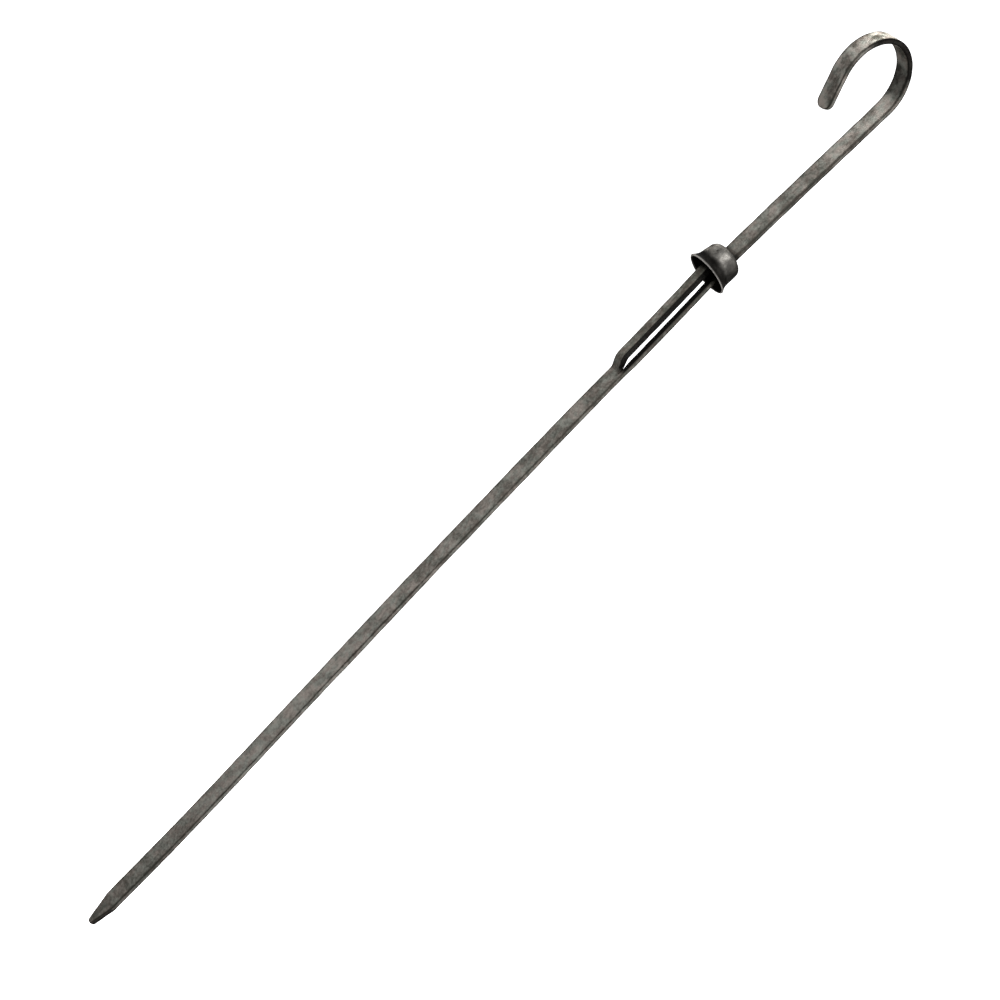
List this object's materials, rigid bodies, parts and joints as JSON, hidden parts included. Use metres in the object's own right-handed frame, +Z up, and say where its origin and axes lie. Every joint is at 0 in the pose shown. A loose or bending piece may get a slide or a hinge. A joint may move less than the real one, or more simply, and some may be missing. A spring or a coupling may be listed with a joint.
{
  "type": "tent stake",
  "caption": "Tall hand-forged flat-bar ground stake with a blunt point, a slit eye, a loose flared bell threaded on the bar and a crook hook at the top.",
  "frame": {"origin": "the lowest point of the blunt driven end, on the middle of the bar", "axes": "+Z up the shank towards the hook; X across the width of the flat bar, with the narrow leg of the eye at +X; -Y is the front, the side the hook opens to and the eye's strap is drifted to"},
  "size_m": [0.0442, 0.0884, 1.0878],
  "materials": {
    "forged_steel": "dark oiled forge scale, worn grey on the broad faces and edges",
    "bell_steel": "dark satin steel, smoother than the bar, with a bright rubbed rim and a sooty inside"
  },
  "bodies": {
    "stake": {"forged_bar": "forged_steel"},
    "bell": {"bell": "bell_steel"}
  },
  "joints": [
    {"name": "bell_slide", "type": "slide", "parent": "stake", "child": "bell", "axis": [0, 0.0715, 0.9974], "range_m": [0, 0.194]}
  ]
}
